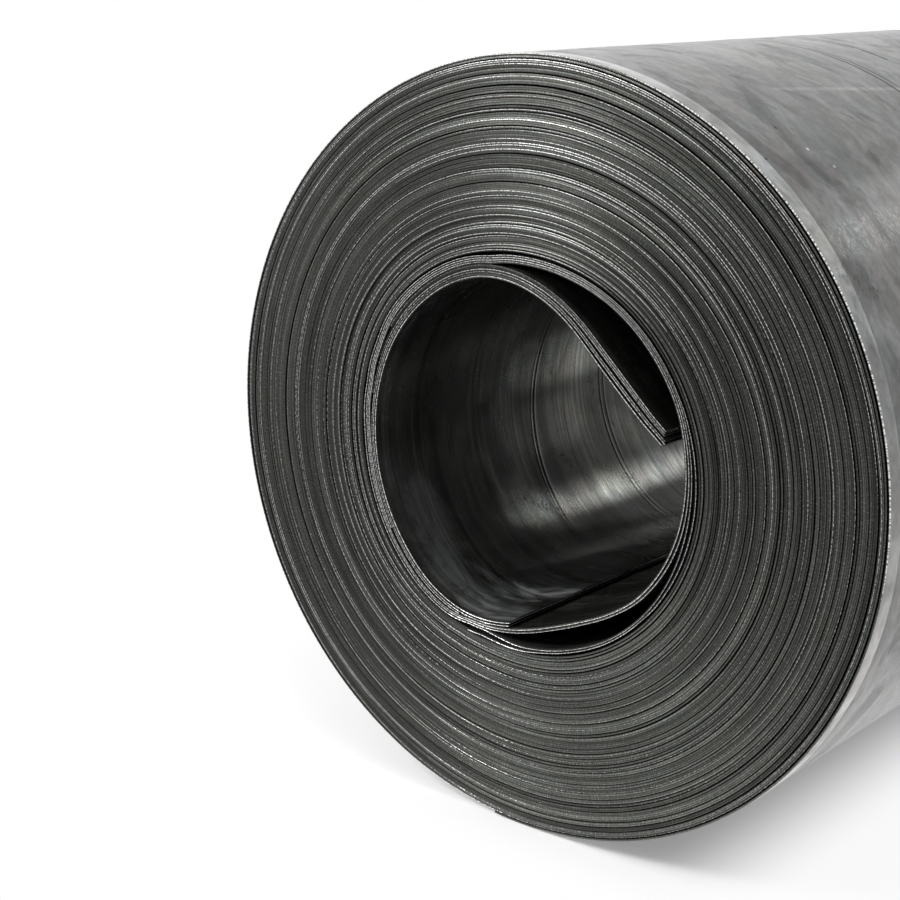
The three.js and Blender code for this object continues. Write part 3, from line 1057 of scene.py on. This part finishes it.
def outer_skin():
    """The outer skin under a film of oil: smears drawn out along the strip with casts of colour,
    faint rolling streaks, scratches, a lighter band along each edge, a painted highlight band along
    the coil and patches of painted shade."""
    finish = bpy.context.scene.coil_finish
    made, place = new_material("outer_skin")
    marks = rolled_marks(place, cover=0.48, Density=150, Drift=0.40)
    streak, patch = ("Streak", 0, 1, 0.95, 1.05), ("Patch", 0, 1, 1.14, 0.86)
    level = ramps(marks, streak, patch, ("Smear", 0.34, 0.66, 0.82, 1.18), ("Mottle", 0.32, 0.68, 0.90, 1.10))
    # The marks add scratches and specks, a painted highlight band and patches of painted shade.
    level = marked(level * edge_band(place, marks["Smear"], 2.25), place, on_outer_skin, SKIN_MARKS_AND_PAINTED_LIGHT)
    base = blend(marks["Speck"] * 0.7, shaded(finish.skin, level), SPECK)
    colour = use(steel_tint, place, Colour=base, Amount=0.85)["Colour"]
    rough = rolled_roughness(finish.skin_roughness, marks, 0.05)
    height = marks["Streak"] * 0.4 + marks["Smear"]
    look = {"Metallic": 0.92, "Anisotropic": 0.6, "Specular Tint": CLEAN_TINT}
    oil = {"Coat Weight": level * finish.oil, "Coat Roughness": 0.28}
    return steel(made, colour, rough, height, 0.10, {**look, **oil})


def bore_skin():
    """The inner skin: rolling streaks, clusters of dark specks, and a dry film near the mouth of the
    bore, duller and paler than the steel, and patches and lines of painted highlight and painted shade."""
    finish = bpy.context.scene.coil_finish
    made, place = new_material("bore_skin")
    marks = rolled_marks(place, bands=0.6, cover=0.47, Density=230, Drift=0.36)
    streak, line = ("Streak", 0.15, 0.85, 0.55, 1.45), ("Line", 0, 1, 0.72, 1.30)
    level = ramps(marks, streak, line, ("Patch", 0, 1, 1.06, 0.90), ("Mottle", 0.30, 0.70, 0.90, 1.10))
    # The marks add dark speck clusters, painted highlights of sheen and painted shade.
    level = marked(level * edge_band(place, marks["Smear"], 1.18), place, on_bore, BORE_MARKS_AND_PAINTED_LIGHT)
    layers = [mask * thick for thick, mask in mark_masks(place, on_bore, FILM_MARKS)]
    film = reduce(partial(sums, "MAXIMUM"), layers)
    film = film * ramp(marks["Streak"], 0.2, 0.8, 0.55, 1) * ramp(marks["Smear"], 0.35, 0.6, 0.6, 1)
    base = blend(marks["Speck"] * 0.8, shaded(finish.bore, level), BORE_SPECK)
    tinted = use(steel_tint, place, Colour=base, Amount=0.7)["Colour"]
    colour = blend(film, tinted, (*finish.film, 1))
    rough = rolled_roughness(finish.bore_roughness, marks, 0.03) + film * 0.35
    height = marks["Streak"] * 0.6 + marks["Smear"]
    look = {"Metallic": ramp(film, 0, 1, 0.92, 0.1), "Anisotropic": 0.9}
    return steel(made, colour, rough, height, 0.12, look)


def oiled_skin():
    """The skins that are pressed together between the turns: near black as painted shade in the gaps
    between the turns, with faint rolling streaks.
    """
    made, place = new_material("oiled_skin")
    marks = rolled_marks(place, size=1.4)
    level = ramps(marks, ("Streak", 0.2, 0.8, 0.7, 1.3), ("Mottle", 0.3, 0.7, 0.8, 1.2))
    rough = ramp(marks["Patch"], 0, 1, 0.50, 0.62)
    return surfaced(made, shaded(GAP_SHADE_BLACK, level), rough, {"Specular IOR Level": 0.03})


def slit_edge():
    """The slit edges on the coil's ends: each turn has its own brightness, and its burr is bared."""
    finish = bpy.context.scene.coil_finish
    made, place = new_material("slit_edge")
    values = {key.title(): put(place.tree, "Attribute", attribute_name=key)["Fac"] for key in STRIP_VALUES}
    marks = use(slit_marks, place, **values)
    tinted = use(steel_tint, place, Colour=shaded(finish.edge, marks["Value"]), Amount=0.5)["Colour"]
    colour = blend(marks["Lip"], tinted, (*finish.burr, 1))
    rough = finish.edge_roughness - marks["Lip"] * 0.2
    look = {"Metallic": 0.85, "Anisotropic": 0.8}
    return steel(made, colour, rough, marks["Height"], 0.3, look, GRAIN_DEPTH)


def finishes(outside=oiled_skin, inside=oiled_skin):
    """The finishes in the order of a strip's material slots: outside, inside, edges."""
    made = bpy.data.materials
    return [made.get(make.__name__) or make() for make in (outside, inside, slit_edge)]


# ---- the studio

MIDDLE = (0, 0, AXIS_HEIGHT)
FLOOR_REACH = 14.0
FLOOR_CORNERS = 96
# Each lamp's place, what it faces, its two sides and the angle that its light spreads over.
LAMPS = {
    "key": ((-2, -3, 2.8), MIDDLE, (1.5, 1.5), math.pi),
    "left": ((-2.9, -2.7, 0.7), MIDDLE, (1, 1), math.pi),
    "top": ((0.7, -1.3, 3.2), MIDDLE, (1.4, 1.4), math.pi),
    "back": ((0.72, 2.9, 2.2), (-0.2, 0, 0.45), (0.9, 1.2), math.radians(18)),
}


def add_camera(studio):
    """A camera that looks along +Y turned by azimuth towards -X, and down by pitch."""
    lens = bpy.data.cameras.new("camera")
    lens.sensor_width = 36.0
    lens.angle = studio.view
    lens.clip_end = 100.0
    camera = bpy.data.objects.new("camera", lens)
    turned = Matrix.Rotation(studio.azimuth, 4, "Z") @ Matrix.Rotation(math.pi / 2 - studio.pitch, 4, "X")
    camera.matrix_world = Matrix.Translation(Vector(studio.eye_place)) @ turned
    bpy.context.scene.collection.objects.link(camera)
    bpy.context.scene.camera = camera


def add_lamp(name, power):
    """A soft rectangular lamp."""
    place, target, size, spread = LAMPS[name]
    light = bpy.data.lights.new(name + "_lamp", "AREA")
    light.shape = "RECTANGLE"
    light.size, light.size_y = size
    light.energy = power
    light.spread = spread
    lamp = bpy.data.objects.new(name + "_lamp", light)
    facing = (Vector(target) - Vector(place)).to_track_quat("-Z", "Y").to_matrix().to_4x4()
    lamp.matrix_world = Matrix.Translation(place) @ facing
    lamp.visible_camera = False
    bpy.context.scene.collection.objects.link(lamp)


def seen_straight(tree):
    """1 for camera, glossy and transmission rays."""
    rays = put(tree, "LightPath")
    mirrored = sums("MAXIMUM", rays["Is Glossy Ray"], rays["Is Transmission Ray"])
    return sums("MAXIMUM", rays["Is Camera Ray"], mirrored)


def add_room(studio):
    """A white room: white where it is seen or mirrored, and an even light elsewhere."""
    world = bpy.data.worlds.new("room")
    tree = emptied(world)
    bpy.context.scene.world = world
    up = put(tree, "SeparateXYZ", {0: put(tree, "TexCoord")["Generated"]})[2]
    shade = between(put(tree, "LightPath")["Is Camera Ray"], ramp(up, 0.2, 0.6, 1, 0.80), 1)
    lit = put(tree, "Background", {"Color": WHITE, "Strength": studio.room_light})[0]
    white = put(tree, "Background", {"Color": grey(shade), "Strength": 1.0})[0]
    mixed = put(tree, "MixShader", {0: seen_straight(tree), 1: lit, 2: white})[0]
    put(tree, "OutputWorld", {"Surface": mixed})


def add_floor(studio):
    """A disc of plain pale floor that passes into the white of the room. A share of white painted over
    the lit floor takes out the coil's shadow in front of its near end and on the right, and keeps it
    on the left and under the coil.
    """
    turned = np.linspace(0, 2 * np.pi, FLOOR_CORNERS + 1)[:-1]
    rim = FLOOR_REACH * np.stack([np.cos(turned), np.sin(turned), np.zeros(FLOOR_CORNERS)], axis=1)
    mesh = bpy.data.meshes.new("floor")
    mesh.from_pydata(rim.tolist(), [], [list(range(FLOOR_CORNERS))])
    floor = bpy.data.objects.new("floor", mesh)
    bpy.context.scene.collection.objects.link(floor)
    made = bpy.data.materials.new("pale_floor")
    tree = emptied(made)
    place = put(tree, "TexCoord")["Object"]
    pale = shaded(studio.floor, ramp(noise(place, 3), 0.3, 0.7, 0.985, 1))
    plain = put(tree, "BsdfPrincipled", {"Base Color": pale, "Roughness": 0.7, "Specular IOR Level": 0.3})[0]
    white = put(tree, "Emission", {"Color": WHITE, "Strength": 1.0})[0]
    parts = put(tree, "SeparateXYZ", {0: place})
    far = put(tree, "VectorMath", {0: place}, operation="LENGTH")["Value"]
    # Painted light: where this share is high, the coil's shadow on the floor is painted out with white.
    share = sums("MAXIMUM", ramp(parts[0], 0.22, 0.46, 0.2, 0.92), ramp(parts[1], -0.76, -0.62, 1, 0.2))
    share = sums("MAXIMUM", share, ramp(far, 0.9, 1.8, 0.2, 1)) * seen_straight(tree)
    mixed = put(tree, "MixShader", {0: share, 1: plain, 2: white})[0]
    put(tree, "OutputMaterial", {"Surface": mixed})
    mesh.materials.append(made)


# ---- operators and panel


class COIL_OT_studio(bpy.types.Operator):
    """Sets up the camera, the floor, the room and the lamps"""

    bl_idname = "coil.studio"
    bl_label = "Studio"

    def execute(self, context):
        studio = context.scene.coil_studio
        context.scene.view_settings.view_transform = "Standard"
        add_camera(studio)
        add_room(studio)
        add_floor(studio)
        for name in LAMPS:
            add_lamp(name, getattr(studio, name + "_power"))
        return {"FINISHED"}


class COIL_OT_outside_turn(bpy.types.Operator):
    """Winds the outermost turn, with the tail of the strip and the skin that is seen"""

    bl_idname = "coil.outside_turn"
    bl_label = "Outside turn"

    def execute(self, context):
        columns = strip_columns(OUTSIDE_COLUMNS, MIDDLE_CREASE)
        outermost = tight_run(TAIL_CROP / TURN, OUTSIDE_END, columns, outside_relief)
        strips_object("outside_turn", [outermost], finishes(outer_skin))
        return {"FINISHED"}


class COIL_OT_tight_turns(bpy.types.Operator):
    """Winds the tight turns, in three lengths from the outside to the wall of the eye"""

    bl_idname = "coil.tight_turns"
    bl_label = "Tight turns"

    def execute(self, context):
        turns = context.scene.coil_sizes.tight_turns
        places = (OUTSIDE_END, *(round(turns * share) for share in CUTS), turns)
        names = ("outer_turns", "middle_turns", "inner_turns")
        for name, first, last in zip(names, places, places[1:]):
            strips_object(name, [tight_run(first, last, np.empty(0), no_relief)], finishes())
        return {"FINISHED"}


class COIL_OT_wall_turns(bpy.types.Operator):
    """Winds the last turns before the eye, which sag off the wall in crescents"""

    bl_idname = "coil.wall_turns"
    bl_label = "Wall turns"

    def execute(self, context):
        strips_object("wall_turns", [wall_run()], finishes(bore_skin, bore_skin))
        return {"FINISHED"}


class COIL_OT_sprung_turns(bpy.types.Operator):
    """Lays the sprung inner turns, whose ends stand free in the eye"""

    bl_idname = "coil.sprung_turns"
    bl_label = "Sprung turns"

    def execute(self, context):
        inmost, *others = [sprung_run(number) for number in range(len(SPRUNG_TURNS))]
        strips_object("innermost_turn", [inmost], finishes(oiled_skin, bore_skin))
        strips_object("sprung_turns", others, finishes(bore_skin, oiled_skin))
        return {"FINISHED"}


class COIL_PT_panel(bpy.types.Panel):
    """Sizes, finishes and pieces of the coil"""

    bl_idname = "COIL_PT_panel"
    bl_label = "Steel coil"
    bl_space_type = "VIEW_3D"
    bl_region_type = "UI"
    bl_category = "Steel coil"

    def draw(self, context):
        for heading in VALUES:
            values = getattr(context.scene, heading)
            box = self.layout.box()
            for name in values.__annotations__:
                box.prop(values, name)
        for operator in OPERATORS:
            self.layout.operator(operator.bl_idname)


VALUES = {"coil_sizes": CoilSizes, "coil_finish": CoilFinish, "coil_studio": CoilStudio}
OPERATORS = (
    COIL_OT_studio, COIL_OT_outside_turn, COIL_OT_tight_turns, COIL_OT_wall_turns, COIL_OT_sprung_turns,
)


def register():
    for name, kind in VALUES.items():
        bpy.utils.register_class(kind)
        setattr(bpy.types.Scene, name, PointerProperty(type=kind))
    for kind in (*OPERATORS, COIL_PT_panel):
        bpy.utils.register_class(kind)


def unregister():
    for kind in (COIL_PT_panel, *reversed(OPERATORS)):
        bpy.utils.unregister_class(kind)
    for name, kind in VALUES.items():
        delattr(bpy.types.Scene, name)
        bpy.utils.unregister_class(kind)


def main():
    register()
    bpy.ops.coil.studio()
    bpy.ops.coil.outside_turn()
    bpy.ops.coil.tight_turns()
    bpy.ops.coil.wall_turns()
    bpy.ops.coil.sprung_turns()


if __name__ == "__main__":
    main()
